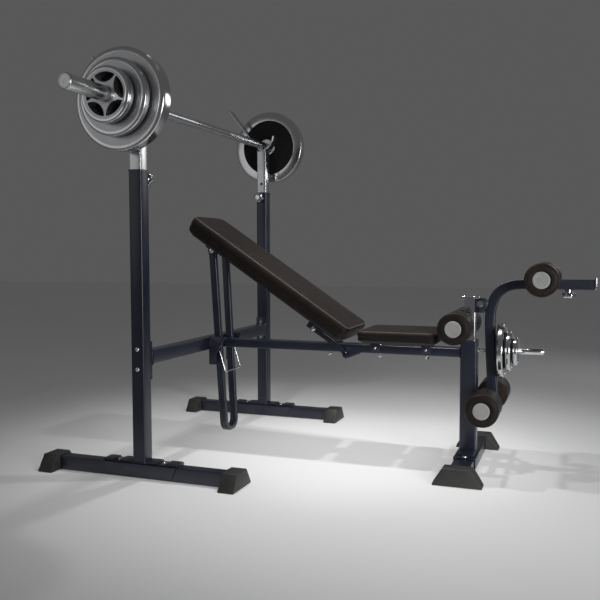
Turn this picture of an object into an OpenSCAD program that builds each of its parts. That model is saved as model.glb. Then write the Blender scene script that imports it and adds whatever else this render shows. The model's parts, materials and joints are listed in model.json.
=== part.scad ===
// Adjustable weight bench with a telescopic barbell rack, a propped backrest,
// a fixed seat and a leg developer. Millimetres, +Z up, the floor is z = 0.
// The bench runs along X, the barbell along Y. Every module is written in the
// rack's own coordinates, where x = 0 is the plane through the two posts, and
// is then moved by rack_x so that the bounding box is centred on the origin.

/* [Rack] */
// Distance between the centre lines of the two posts
rack_spacing = 1100; // [1000:10:1200]
// Outside size of the square post tube
post_size = 50; // [40:1:60]
// Wall thickness of the post tube
post_wall = 2; // [1.5:0.5:4]
// Height of the top edge of the posts
post_top = 1077; // [1000:1:1150]
// Outside size of the telescopic inner tube
riser_size = 45; // [40:0.5:45.6]
// Pitch of the locking holes
hole_pitch = 67; // [50:1:80]
// Height of the locking knobs
knob_z = 1050; // [980:1:1060]
// Radius of the locking knob pin
knob_pin_r = 6; // [5:0.5:9]
// Height of the centre line of the crossbar
crossbar_z = 422; // [400:1:450]

/* [Barbell] */
// Height of the barbell axis in its cradles
bar_z = 1299; // [1290:1:1310]
// Radius of the gripping shaft
bar_r = 18; // [12:0.5:18]
// Radius of the loading sleeves
sleeve_r = 25; // [24:0.5:26]
// Distance from the middle of the bar to each end
bar_half = 945; // [900:5:1100]
// Radius of the large plates
plate_l = 170; // [140:1:200]
// Radius of the middle plates
plate_m = 127; // [100:1:140]
// Radius of the small plates
plate_s = 91; // [80:1:100]

/* [Backrest] */
// Height of the hinge axis
hinge_z = 396; // [380:1:396]
// Distance of the hinge axis from the post plane
hinge_x = 592; // [560:1:620]
// Angle of the backrest above the horizontal
incline = 33.7; // [30:0.1:38]
// Width of the backrest pad
pad_w = 270; // [220:5:300]
// Length of the backrest pad
pad_len = 775; // [700:5:800]
// Thickness of the backrest pad
pad_t = 76; // [50:1:80]
// Leaning angle of the prop from the vertical
prop_lean = 3.2; // [0:0.01:8]
// Length of the prop from its pivot to its lowest face
prop_len = 745; // [700:1:765]

/* [Seat] */
// Front-to-back length of the seat pad
seat_len = 294; // [250:1:300]
// Width of the seat pad
seat_w = 265; // [220:5:300]
// Height of the underside of the seat pad
seat_z = 458; // [450:1:470]
// Thickness of the seat pad
seat_t = 48; // [40:1:70]

/* [Leg developer] */
// Radius of the foam rollers
roller_r = 58; // [40:1:60]
// Length of one foam roller
roller_len = 140; // [100:1:160]
// Radius of the roller axles
axle_r = 12.5; // [10:0.5:15]
// Size of the square lever tube
lever_size = 36; // [30:1:40]
// Radius of the weight peg
peg_r = 10.5; // [8:0.5:13]

/* [Feet] */
// Size of the square floor tubes of the rack
floor_tube = 50; // [40:1:60]
// Gap between the floor and the floor tubes
floor_gap = 2; // [1:0.5:5]

/* [Hidden] */
$fn = 64;
rack_x = -549;
post_y = rack_spacing / 2;
post_in = post_size / 2 - post_wall;
tube_z1 = floor_gap + floor_tube;
deck_z = tube_z1 + 5;
run = 0.05;
beam_y = 30;
beam_z0 = 405;
beam_z1 = 438;
leg_x = 1058;
post2_x = 1060;
foot_x = 1060;
prop_x = 35;
prop_z = 800;
pad_n = 47;
pad_a = 27;
lever_px = 1098;
lever_pz = 603;
cradle_path = [
  [-168, 1470], [-99, 1384], [-84, 1356], [-10, bar_z - 21.3],
  [12, bar_z - 21.3], [34, 1286], [52, 1311], [59, 1340]
];
lever_path = [
  [1485, 677], [1236, 677], [1204, 671], [1176, 658.5], [1153, 636],
  [1139, 603], [1131.5, 552], [1136.5, 409], [1147, 236]
];
arm_path = [[0, 0], [-22, 7], [-62, 8], [-180, 8]];
lens_points = concat(
  [for (t = [-32 : 8 : 32]) [72 * cos(t), 72 * sin(t)]],
  [for (t = [-54 : 12 : 54]) [83 - 45 * cos(t), -45 * sin(t)]]
);

// ---------- helpers ----------

module rack_frame() {
  translate([rack_x, 0, 0]) children();
}

module box(x0, x1, y0, y1, z0, z1) {
  translate([x0, y0, z0]) cube([x1 - x0, y1 - y0, z1 - z0]);
}

module along_y(y0, y1) {
  translate([0, y1, 0]) rotate([90, 0, 0]) linear_extrude(height = y1 - y0) children();
}

module along_x(x0, x1) {
  translate([x0, 0, 0]) rotate([90, 0, 90]) linear_extrude(height = x1 - x0) children();
}

module ycyl(x, z, r, y0, y1) {
  translate([x, y1, z]) rotate([90, 0, 0]) cylinder(h = y1 - y0, r = r);
}

module xcyl(y, z, r, x0, x1) {
  translate([x0, y, z]) rotate([0, 90, 0]) cylinder(h = x1 - x0, r = r);
}

module zcyl(x, y, r, z0, z1) {
  translate([x, y, z0]) cylinder(h = z1 - z0, r = r);
}

// Turned about Y, side +1 faces +Y and side -1 faces -Y
module turned_y(x, z, side) {
  translate([x, 0, z]) rotate([-90 * side, 0, 0]) rotate_extrude() children();
}

module both_sides() {
  children();
  mirror([0, 1, 0]) children();
}

// Flat outline with four round corners, two radii
module rounded(x0, x1, y0, y1, ra, rb) {
  translate([x0 + ra, y0]) square([x1 - x0 - ra - rb, y1 - y0]);
  translate([x0, y0 + ra]) square([x1 - x0 - rb, y1 - y0 - 2 * ra]);
  translate([x0 + ra, y0 + rb]) square([x1 - x0 - ra, y1 - y0 - 2 * rb]);
  for (v = [y0 + ra, y1 - ra]) translate([x0 + ra, v]) circle(r = ra);
  for (v = [y0 + rb, y1 - rb]) translate([x1 - rb, v]) circle(r = rb);
}

function seg_normal(a, b) = [a[1] - b[1], b[0] - a[0]] / norm(b - a);

function side_points(p, h) = [
  for (i = [0 : len(p) - 1])
    let (n1 = i == 0 ? seg_normal(p[0], p[1]) : seg_normal(p[i - 1], p[i]))
    let (n2 = i == len(p) - 1 ? n1 : seg_normal(p[i], p[i + 1]))
    p[i] + (n1 + n2) * h / (1 + n1 * n2)
];

function reversed(p) = [for (i = [len(p) - 1 : -1 : 0]) p[i]];

module strip(p, t) {
  polygon(concat(side_points(p, t / 2), reversed(side_points(p, -t / 2))));
}

module pad_frame() {
  translate([hinge_x, 0, hinge_z]) rotate([0, incline, 0]) children();
}

module prop_frame() {
  translate([prop_x, 0, prop_z]) rotate([0, -prop_lean, 0]) children();
}

// ---------- rack ----------

module post_tube(side) {
  y0 = side * post_y - post_size / 2;
  difference() {
    union() {
      box(-post_size / 2, post_size / 2, y0, y0 + post_size, deck_z, post_top);
      rotate([0, 0, 0]) translate([0, side * (post_y - post_size / 2), knob_z])
        rotate([90 * side, 0, 0]) cylinder(h = 12, r = 15);
    }
    translate([0, side * post_y, 0]) box(-post_in, post_in, -post_in, post_in, deck_z - 1, post_top + 1);
    ycyl(0, knob_z, knob_pin_r + run, side > 0 ? 500 : -540, side > 0 ? 540 : -500);
    for (z = [387, 457]) ycyl(0, z, 5.2, side > 0 ? 520 : -580, side > 0 ? 580 : -520);
  }
}

module uprights() {
  rack_frame() color([0.11, 0.12, 0.17]) {
    post_tube(-1);
    post_tube(1);
  }
}

module saddle(y) {
  translate([0, y, 0]) difference() {
    union() {
      for (s = [-1, 1])
        translate([0, s > 0 ? 0 : -2 * (floor_tube / 2 + 0.2) - 4, 0])
          along_y(floor_tube / 2 + 0.2, floor_tube / 2 + 4.2)
            polygon([[-145, deck_z], [-127, 14], [131, 14], [150, deck_z]]);
      box(-145, 150, -floor_tube / 2 - 4.2, floor_tube / 2 + 4.2, tube_z1, deck_z);
      box(-145, -103, -25, 25, deck_z, deck_z + 6);
      box(104, 150, -25, 25, deck_z, deck_z + 6);
      box(-78, -post_size / 2, -25, 25, deck_z, deck_z + 7);
      box(post_size / 2, 72, -25, 25, deck_z, deck_z + 7);
    }
    for (x = [-90, 87]) zcyl(x, 0, 5.2, tube_z1 - 1, deck_z + 1);
  }
}

module saddles() {
  rack_frame() color([0.11, 0.12, 0.17]) {
    saddle(-post_y);
    saddle(post_y);
  }
}

module stabiliser(y) {
  h = floor_tube / 2;
  translate([0, y, 0]) difference() {
    box(-386, 377, -h, h, floor_gap, tube_z1);
    box(-387, 378, 2 - h, h - 2, floor_gap + 2, tube_z1 - 2);
    for (x = [-90, 87]) zcyl(x, 0, 5.2, tube_z1 - 5, tube_z1 + 1);
  }
}

module stabilisers() {
  rack_frame() color([0.11, 0.12, 0.17]) {
    stabiliser(-post_y);
    stabiliser(post_y);
  }
}

module rack_cap(x0, x1, y) {
  h = floor_tube / 2;
  translate([0, y, 0]) difference() {
    along_x(x0, x1) polygon([[-73, 0], [73, 0], [73, 5], [38, 58], [-38, 58], [-73, 5]]);
    box(-386, 377, -h, h, floor_gap, tube_z1);
  }
}

module rack_foot_caps() {
  rack_frame() color([0.13, 0.13, 0.12])
    for (y = [-post_y, post_y]) {
      rack_cap(-394, -336, y);
      rack_cap(327, 385, y);
    }
}

module crossbar() {
  w = post_y - post_size / 2;
  rack_frame() color([0.11, 0.12, 0.17]) difference() {
    union() {
      box(-25, 25, -w + 8, w - 8, crossbar_z - 25, crossbar_z + 25);
      for (s = [-1, 1])
        box(-25, 25, s > 0 ? w - 8 : -w, s > 0 ? w : 8 - w, 345, 480);
    }
    box(-23, 23, -w + 9, w - 9, crossbar_z - 23, crossbar_z + 23);
    for (z = [387, 457]) ycyl(0, z, 5.2, -w - 1, w + 1);
  }
}

module gusset_plates() {
  rack_frame() color([0.11, 0.12, 0.17]) both_sides() along_y(76, 82)
    polygon([[25, 452], [97, 452], [97, 446], [56, 384], [56, 337], [25, 337]]);
}

module rubber_buffer() {
  rack_frame() color([0.05, 0.05, 0.05]) box(25, 37, 140, 205, 418, 446);
}

// ---------- spine and front leg ----------

module main_tube() {
  rack_frame() color([0.11, 0.12, 0.17]) difference() {
    box(25, leg_x - 30, -beam_y, beam_y, beam_z0, beam_z1);
    box(24, leg_x - 29, 2 - beam_y, beam_y - 2, beam_z0 + 2, beam_z1 - 2);
    for (x = [516, 719, 901]) zcyl(x, 0, 4.2, beam_z0 - 1, beam_z1 + 1);
    for (x = [707, 902]) ycyl(x, 427, 4.2, -31, 31);
  }
}

module front_leg() {
  rack_frame() color([0.11, 0.12, 0.17]) difference() {
    box(leg_x - 30, leg_x + 30, -30, 30, deck_z, 468);
    box(leg_x - 27, leg_x + 27, -27, 27, deck_z - 1, 320);
    box(leg_x - 27, leg_x + 27, -27, 27, 326, 462);
    box(post2_x - 20.1, post2_x + 20.1, -20.1, 20.1, 461, 469);
  }
}

module front_foot() {
  rack_frame() color([0.11, 0.12, 0.17]) difference() {
    box(foot_x - 35, foot_x + 35, -289, 289, floor_gap, tube_z1);
    box(foot_x - 33, foot_x + 33, -290, 290, floor_gap + 2, tube_z1 - 2);
    for (y = [-110, 110]) zcyl(foot_x, y, 5.2, tube_z1 - 5, tube_z1 + 1);
  }
}

module foot_sleeve() {
  rack_frame() color([0.11, 0.12, 0.17]) difference() {
    union() {
      box(foot_x - 39.2, foot_x + 39.2, -126, 126, tube_z1, deck_z);
      for (s = [0, 1])
        translate([foot_x, 0, 0]) mirror([s, 0, 0]) along_x(35.2, 39.2)
          polygon([[-126, deck_z], [-112, 14], [112, 14], [126, deck_z]]);
      box(foot_x - 34, foot_x + 30, -94, -30.2, deck_z, deck_z + 6);
      box(foot_x - 34, foot_x + 30, 30.2, 94, deck_z, deck_z + 6);
    }
    for (y = [-110, 110]) zcyl(foot_x, y, 5.2, tube_z1 - 1, deck_z + 1);
  }
}

module front_foot_caps() {
  rack_frame() color([0.13, 0.13, 0.12]) both_sides() difference() {
    translate([foot_x, 0, 0]) along_y(242, 297)
      polygon([[-84, 0], [84, 0], [84, 5], [49, 62], [-49, 62], [-84, 5]]);
    box(foot_x - 35, foot_x + 35, -289, 289, floor_gap, tube_z1);
  }
}

module leg_post() {
  rack_frame() color([0.75, 0.76, 0.78]) {
    difference() {
      box(post2_x - 20, post2_x + 20, -20, 20, 326, 624);
      box(post2_x - 18, post2_x + 18, -18, 18, 325, 622);
    }
    box(1031, 1096, -33, 33, 624, 632);
  }
}

module post_brackets() {
  rack_frame() color([0.11, 0.12, 0.17]) {
    difference() {
      union() {
        box(1080, 1084, -26, 26, 571, 624);
        both_sides() along_y(22, 26) {
          translate([1083, 571]) square([21, 53]);
          translate([lever_px, lever_pz]) circle(r = 21);
          translate([1098, 571]) square([24, 30]);
        }
      }
      ycyl(lever_px, lever_pz, 6 + run, -30, 30);
      box(1060, 1130, -30, 30, 624, 640);
    }
    both_sides() along_y(20, 24) difference() {
      union() {
        translate([1023, 504]) square([46, 36]);
        translate([1023, 522]) circle(r = 18);
      }
      translate([1023, 522]) circle(r = axle_r + 0.1);
    }
  }
}

module axle(x, z, y1) {
  difference() {
    union() {
      ycyl(x, z, axle_r, -y1, y1);
      both_sides() ycyl(x, z, 29, y1, y1 + 4);
    }
    ycyl(x, z, axle_r - 2.5, -y1 - 5, y1 + 5);
  }
}

module seat_axle() {
  rack_frame() color([0.7, 0.7, 0.72]) axle(1023, 522, 173);
}

module lever_stop() {
  rack_frame() color([0.05, 0.05, 0.05]) {
    xcyl(0, 432, 13, leg_x + 30, leg_x + 38);
    xcyl(0, 432, 8, leg_x + 38, 1116);
  }
}

module lever_bolt() {
  rack_frame() color([0.7, 0.7, 0.72]) {
    ycyl(lever_px, lever_pz, 6, -32, 32);
    both_sides() ycyl(lever_px, lever_pz, 11, 26.2, 31);
  }
}

module hinge_lugs() {
  rack_frame() color([0.11, 0.12, 0.17]) both_sides() along_y(30, 34) difference() {
    union() {
      translate([hinge_x, hinge_z]) circle(r = 15);
      polygon([[580, 387], [600, 383.3], [650, 405], [650, 428], [598, 428], [578, 402]]);
    }
    translate([hinge_x, hinge_z]) circle(r = 8 + run);
  }
}

module hinge_pin() {
  rack_frame() color([0.7, 0.7, 0.72]) {
    ycyl(hinge_x, hinge_z, 8, -46, 46);
    both_sides() ycyl(hinge_x, hinge_z, 12, 42, 47);
  }
}

// ---------- seat ----------

module seat_pad() {
  rack_frame() color([0.16, 0.12, 0.11]) difference() {
    translate([0, 0, seat_z]) linear_extrude(height = seat_t)
      rounded(664, 664 + seat_len, -seat_w / 2, seat_w / 2, 34, 34);
    box(677, 945, -119, 119, seat_z - 1, seat_z + 9);
  }
}

module seat_board() {
  rack_frame() color([0.55, 0.42, 0.28])
    box(678, 944, -118, 118, seat_z - 3, seat_z + 9);
}

module seat_bracket(x) {
  difference() {
    union() {
      box(x - 18, x + 18, -62, 62, seat_z - 6, seat_z - 3);
      both_sides() box(x - 18, x + 18, 30, 33, 414, seat_z - 6);
    }
    ycyl(x, 427, 4.2, -40, 40);
  }
}

module seat_brackets() {
  rack_frame() color([0.11, 0.12, 0.17]) {
    seat_bracket(707);
    seat_bracket(902);
  }
}

// ---------- fasteners ----------

module crossbar_bolt(z) {
  ycyl(0, z, 5, 507, 576);
  ycyl(0, z, 8, 575, 580);
  translate([0, 517, z]) rotate([90, 0, 0]) rotate([0, 0, 30]) cylinder(h = 8, r = 9.8, $fn = 6);
}

module beam_bolt(x, drop) {
  zcyl(x, 0, 4, 394 - drop, beam_z1 + 1);
  zcyl(x, 0, 8.5, beam_z1, beam_z1 + 5);
  translate([x, 0, 397 - drop]) cylinder(h = 8 + drop, r = 8, $fn = 6);
}

module frame_bolts() {
  rack_frame() color([0.75, 0.75, 0.77]) {
    both_sides() for (z = [387, 457]) crossbar_bolt(z);
    for (x = [516, 719, 901]) beam_bolt(x, 7);
    both_sides() for (x = [707, 902]) {
      ycyl(x, 427, 4, 20, 34);
      ycyl(x, 427, 6, 33, 37);
    }
  }
}

module deck_bolt(x, y) {
  zcyl(x, y, 5, 40, deck_z + 1);
  zcyl(x, y, 10, deck_z, deck_z + 6);
  translate([x, y, tube_z1 - 10]) cylinder(h = 8, r = 9.5, $fn = 6);
}

module deck_bolts() {
  rack_frame() color([0.75, 0.75, 0.77]) {
    for (y = [-post_y, post_y]) for (x = [-90, 87]) deck_bolt(x, y);
    for (y = [-110, 110]) deck_bolt(foot_x, y);
  }
}

// ---------- telescopic risers, cradles and knobs ----------

module riser(side) {
  h = riser_size / 2;
  rack_frame() color([0.75, 0.76, 0.78]) translate([0, side * post_y, 0]) difference() {
    box(-h, h, -h, h, 780, 1270);
    box(2 - h, h - 2, 2 - h, h - 2, 779, 1271);
    for (i = [-3 : 1]) ycyl(0, knob_z + i * hole_pitch, knob_pin_r + 0.5, side > 0 ? -30 : 10, side > 0 ? -10 : 30);
  }
}

module inner_tube_near() {
  riser(-1);
}

module inner_tube_far() {
  riser(1);
}

module cradle(side) {
  rack_frame() color([0.75, 0.76, 0.78]) translate([0, side * post_y, 0]) {
    along_y(-22.5, 22.5) strip(cradle_path, 6);
    box(-22.5, 22.5, -22.5, 22.5, 1270, bar_z - 24.3);
  }
}

module cradle_near() {
  cradle(-1);
}

module cradle_far() {
  cradle(1);
}

module knob(side) {
  rack_frame() color([0.75, 0.75, 0.77]) {
    ycyl(0, knob_z, knob_pin_r, side > 0 ? 502 : -526.8, side > 0 ? 526.8 : -502);
    ycyl(0, knob_z, 13, side > 0 ? 500 : -512, side > 0 ? 512 : -500);
    translate([0, side > 0 ? 502 : -480, knob_z]) rotate([90, 0, 0]) cylinder(h = 22, r = 24, $fn = 6);
  }
}

module knob_near() {
  knob(-1);
}

module knob_far() {
  knob(1);
}

// ---------- barbell ----------

module bar_shaft() {
  rack_frame() color([0.78, 0.79, 0.8]) ycyl(0, bar_z, bar_r, -930, 930);
}

module sleeve(side) {
  rack_frame() color([0.78, 0.79, 0.8]) turned_y(0, bar_z, side)
    polygon([
      [bar_r + run, 588], [35, 588], [38, 591], [38, 609], [35, 612], [sleeve_r - 0.4, 612],
      [sleeve_r - 0.4, 746], [sleeve_r, 746], [sleeve_r, bar_half - 3], [sleeve_r - 3, bar_half],
      [0, bar_half], [0, 931], [bar_r + run, 931]
    ]);
}

module sleeve_near() {
  sleeve(-1);
}

module sleeve_far() {
  sleeve(1);
}

module disc_profile(r, y0, y1, hub, rim) {
  polygon([
    [sleeve_r + 0.4, y0], [r - 5, y0], [r, y0 + 5], [r, y1 - 8], [r - 8, y1], [r - rim, y1],
    [r - rim - 4, y1 - 5], [hub + 4, y1 - 5], [hub, y1], [sleeve_r + 0.4, y1]
  ]);
}

module large_plate(side) {
  rack_frame() color([0.6, 0.6, 0.61]) turned_y(0, bar_z, side) disc_profile(plate_l, 614, 663, 40, 20);
}

module middle_plate(side) {
  rack_frame() color([0.6, 0.6, 0.61]) turned_y(0, bar_z, side) disc_profile(plate_m, 663.2, 701, 40, 18);
}

module small_plate(side) {
  rack_frame() color([0.6, 0.6, 0.61]) difference() {
    turned_y(0, bar_z, side) disc_profile(plate_s, 701.2, 743, 34, 13);
    for (i = [0 : 4]) translate([0, side * 722, bar_z]) rotate([90, 0, 0])
      linear_extrude(height = 60, center = true) rotate(90 + 72 * i) polygon(lens_points);
  }
}

module large_plate_near() {
  large_plate(-1);
}

module large_plate_far() {
  large_plate(1);
}

module middle_plate_near() {
  middle_plate(-1);
}

module middle_plate_far() {
  middle_plate(1);
}

module small_plate_near() {
  small_plate(-1);
}

module small_plate_far() {
  small_plate(1);
}

// ---------- backrest ----------

module backrest_pad() {
  rack_frame() color([0.16, 0.12, 0.11]) pad_frame() difference() {
    translate([0, 0, pad_n]) linear_extrude(height = pad_t)
      rounded(-pad_a - pad_len, -pad_a, -pad_w / 2, pad_w / 2, 48, 24);
    box(-pad_a - pad_len + 26, -pad_a - 14, -118, 118, pad_n - 1, pad_n + 9);
  }
}

module backrest_board() {
  rack_frame() color([0.55, 0.42, 0.28]) pad_frame()
    box(-pad_a - pad_len + 27, -pad_a - 15, -117, 117, pad_n - 3, pad_n + 9);
}

module backrest_brackets() {
  rack_frame() color([0.11, 0.12, 0.17]) pad_frame() {
    box(-196, -134, -34.4, 34.4, 41, 44);
    both_sides() difference() {
      box(-196, -134, 30.4, 34.4, -2, 42);
      ycyl(-164, 8, 5.2, 29, 36);
    }
    both_sides() difference() {
      union() {
        box(-722, -654, 69, 73, 26, 44);
        ycyl(-688, 27, 15, 69, 73);
        box(-722, -654, 72, 96, 41, 44);
      }
      rotate([0, -incline, 0]) ycyl(prop_x - hinge_x, prop_z - hinge_z, 6.2, 60, 80);
    }
  }
}

module hinge_arms() {
  rack_frame() color([0.11, 0.12, 0.17]) pad_frame() both_sides() along_y(34.6, 40.6) difference() {
    union() {
      circle(r = 13);
      strip(arm_path, 18);
    }
    circle(r = 8 + run);
    translate([-164, 8]) circle(r = 5.2);
  }
}

module arm_bolts() {
  rack_frame() color([0.75, 0.75, 0.77]) pad_frame() both_sides() {
    ycyl(-164, 8, 5, 24, 41);
    ycyl(-164, 8, 10, 40.6, 45);
  }
}

module prop_bolt() {
  rack_frame() color([0.75, 0.75, 0.77]) {
    ycyl(prop_x, prop_z, 6, -74, 74);
    both_sides() ycyl(prop_x, prop_z, 11, 73, 78);
  }
}

// ---------- prop and bail ----------

module prop_path(w, t, top) {
  r = 36;
  splay = 0.83;
  both_sides() translate([0, 11.5, r + 10 - prop_len]) {
    rotate([-splay, 0, 0]) box(-w / 2, w / 2, r - t / 2, r + t / 2, 0, prop_len - 10 - r + top);
    rotate([90, 0, 90]) rotate([0, 0, -90]) rotate_extrude(angle = 90 - splay)
      translate([r - t / 2, -w / 2]) square([t, w]);
  }
  box(-w / 2, w / 2, -11.5, 11.5, 10 - prop_len - t / 2, 10 - prop_len + t / 2);
}

module prop() {
  rack_frame() color([0.11, 0.12, 0.17]) prop_frame() difference() {
    prop_path(30, 20, 16);
    prop_path(26, 16, -16);
    both_sides() along_y(40, 75) difference() {
      translate([-25, -14]) square([50, 40]);
      circle(r = 14.5);
      polygon([[-15, -14], [15, -14], [14.2, 3], [-14.2, 3]]);
    }
    ycyl(0, 0, 6 + run, -80, 80);
    both_sides() ycyl(9.76, -407.41, 3.05, 56, 80);
  }
}

module bail() {
  rack_frame() color([0.78, 0.79, 0.8]) {
    both_sides() {
      prop_frame() ycyl(9.76, -407.41, 3, 56.5, 71);
      intersection() {
        along_y(68, 74) strip([[67.5, 393], [94.5, 306]], 6);
        box(40, 120, 60, 80, 306.3, 392.5);
      }
    }
    ycyl(93.6, 309, 3, -73, 73);
  }
}

// ---------- leg developer ----------

module lever_arm() {
  h = lever_size / 2;
  rack_frame() color([0.11, 0.12, 0.17]) difference() {
    union() {
      difference() {
        along_y(-h, h) strip(lever_path, lever_size);
        along_y(2 - h, h - 2) strip(concat([[1486, 677]], lever_path), lever_size - 4);
      }
      box(1098, 1124, -h, h, 592, 614);
      ycyl(lever_px, lever_pz, 12, -21.5, 21.5);
      xcyl(0, 434, 19, 1150, 1158);
    }
    ycyl(lever_px, lever_pz, 6 + run, -30, 30);
    ycyl(1315, 697, axle_r + 0.1, -30, 30);
    ycyl(1131, 252, axle_r + 0.1, -30, 30);
    xcyl(0, 434, peg_r + 0.2, 1145, 1160);
    zcyl(1400, 0, 8 + run, 655, 664);
  }
}

module arm_axles() {
  rack_frame() color([0.7, 0.7, 0.72]) {
    axle(1315, 697, 173);
    axle(1131, 252, 236);
  }
}

module weight_peg() {
  rack_frame() color([0.78, 0.79, 0.8]) {
    xcyl(0, 434, peg_r - 0.3, 1146, 1234);
    xcyl(0, 434, peg_r, 1233, 1321);
  }
}

module peg_disc(r, x0, x1) {
  translate([x0, 0, 434]) rotate([0, 90, 0]) rotate_extrude() polygon([
    [peg_r + 0.3, 0], [r - 3, 0], [r, 3], [r, x1 - x0 - 4], [r - 4, x1 - x0], [r - 12, x1 - x0],
    [r - 14, x1 - x0 - 3], [24, x1 - x0 - 3], [22, x1 - x0], [peg_r + 0.3, x1 - x0]
  ]);
}

module peg_plates() {
  rack_frame() color([0.6, 0.6, 0.61]) {
    peg_disc(99, 1160, 1185);
    peg_disc(73, 1187, 1209);
    peg_disc(51, 1211, 1231);
  }
}

module arm_knob() {
  rack_frame() color([0.75, 0.75, 0.77]) {
    zcyl(1400, 0, 8, 646, 660.8);
    translate([1400, 0, 630]) cylinder(h = 17, r = 23.5, $fn = 6);
  }
}

module arm_insert() {
  rack_frame() color([0.75, 0.75, 0.77]) {
    difference() {
      box(1388, 1485, -15.4, 15.4, 661.6, 692.4);
      box(1387, 1484, -13.4, 13.4, 663.6, 690.4);
    }
    box(1485.2, 1492, -22, 22, 660, 705);
    box(1484, 1486, -15.4, 15.4, 661.6, 692.4);
  }
}

module roller(x, z, y0) {
  translate([x, y0 + roller_len, z]) rotate([90, 0, 0]) rotate_extrude() polygon([
    [axle_r + 0.3, 0], [roller_r - 6, 0], [roller_r - 2, 2], [roller_r, 6],
    [roller_r, roller_len - 6], [roller_r - 2, roller_len - 2], [roller_r - 6, roller_len],
    [axle_r + 0.3, roller_len]
  ]);
}

module seat_roller_near() {
  rack_frame() color([0.16, 0.12, 0.11]) roller(1023, 522, -32 - roller_len);
}

module seat_roller_far() {
  rack_frame() color([0.16, 0.12, 0.11]) roller(1023, 522, 32);
}

module upper_roller_near() {
  rack_frame() color([0.16, 0.12, 0.11]) roller(1315, 697, -32 - roller_len);
}

module upper_roller_far() {
  rack_frame() color([0.16, 0.12, 0.11]) roller(1315, 697, 32);
}

module lower_roller_near() {
  rack_frame() color([0.16, 0.12, 0.11]) roller(1131, 252, -95 - roller_len);
}

module lower_roller_far() {
  rack_frame() color([0.16, 0.12, 0.11]) roller(1131, 252, 95);
}

uprights();
saddles();
stabilisers();
rack_foot_caps();
crossbar();
gusset_plates();
rubber_buffer();
main_tube();
front_leg();
front_foot();
foot_sleeve();
front_foot_caps();
leg_post();
post_brackets();
seat_axle();
lever_stop();
lever_bolt();
hinge_lugs();
hinge_pin();
seat_pad();
seat_board();
seat_brackets();
frame_bolts();
deck_bolts();
inner_tube_near();
inner_tube_far();
cradle_near();
cradle_far();
knob_near();
knob_far();
bar_shaft();
sleeve_near();
sleeve_far();
large_plate_near();
middle_plate_near();
small_plate_near();
large_plate_far();
middle_plate_far();
small_plate_far();
backrest_pad();
backrest_board();
backrest_brackets();
hinge_arms();
arm_bolts();
prop_bolt();
prop();
bail();
lever_arm();
arm_axles();
weight_peg();
peg_plates();
arm_knob();
arm_insert();
seat_roller_near();
seat_roller_far();
upper_roller_near();
upper_roller_far();
lower_roller_near();
lower_roller_far();
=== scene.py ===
"""Visual model of the adjustable weight bench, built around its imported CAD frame."""

import json
from math import cos, exp, hypot, pi, radians, sin, tan

import bmesh
import bpy
from mathutils import Matrix, Vector, noise
from mathutils.bvhtree import BVHTree


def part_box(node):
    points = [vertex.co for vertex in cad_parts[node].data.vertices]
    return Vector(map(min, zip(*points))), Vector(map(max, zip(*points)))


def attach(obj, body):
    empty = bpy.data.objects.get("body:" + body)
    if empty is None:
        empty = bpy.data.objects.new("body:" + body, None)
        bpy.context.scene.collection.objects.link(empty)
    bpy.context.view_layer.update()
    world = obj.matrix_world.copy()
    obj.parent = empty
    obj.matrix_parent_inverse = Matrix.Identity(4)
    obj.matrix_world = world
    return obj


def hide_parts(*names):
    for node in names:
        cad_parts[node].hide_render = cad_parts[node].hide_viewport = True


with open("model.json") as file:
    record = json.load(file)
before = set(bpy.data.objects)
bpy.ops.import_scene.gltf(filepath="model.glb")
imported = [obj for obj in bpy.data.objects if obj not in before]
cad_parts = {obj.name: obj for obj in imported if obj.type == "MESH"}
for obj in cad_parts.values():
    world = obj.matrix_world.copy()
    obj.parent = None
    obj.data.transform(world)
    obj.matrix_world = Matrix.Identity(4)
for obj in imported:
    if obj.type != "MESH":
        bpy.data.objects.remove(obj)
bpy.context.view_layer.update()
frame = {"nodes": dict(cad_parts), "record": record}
nodes = frame["nodes"]
BODY_OF = {n: b for b, ns in frame["record"]["behaviour"]["bodies"].items() for n in ns}

MM = 0.001
RACK_X = sum(c[0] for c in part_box("bar_shaft")) / 2
TO_WORLD = Matrix.Translation((RACK_X, 0, 0)) @ Matrix.Scale(MM, 4)
BAR_Z = 1299.0
INCLINE = radians(33.7)
HINGE = Vector((592, 0, 396))
PROP_TOP = Vector((35, 0, 800))
PROP_LEAN = radians(3.2)
IN_RACK = Matrix.Identity(4)
PAD_FRAME = Matrix.Translation(HINGE) @ Matrix.Rotation(INCLINE, 4, "Y")
PROP_FRAME = Matrix.Translation(PROP_TOP) @ Matrix.Rotation(-PROP_LEAN, 4, "Y")

# Shared measures in rack millimetres: x forward from the posts, y across the bench, z up
SIDES = ((-1, "near"), (1, "far"))
POST_Y = 550.0
POST_TOP = 1077
FLOOR_TUBE_Z = 27
SADDLE_Z = 57
BEAM_Z = 422
SPINE_Z = 421.5
KNOB_Z = 1050
RISER_TOP = 1270
LEG_X = 1058
FOOT_X = 1060
STRAPS_X = (707, 902)
LEVER_PIVOT = (1098, 0, 603)
SEAT_AXLE = (1023, 0, 522)
UPPER_AXLE = (1315, 0, 697)
LOWER_AXLE = (1131, 0, 252)
PEG_Z = 434
CHAMFER = 0.8
PUFF_FRAMES = 20

# ------------------------------------------------------------------ materials


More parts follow.
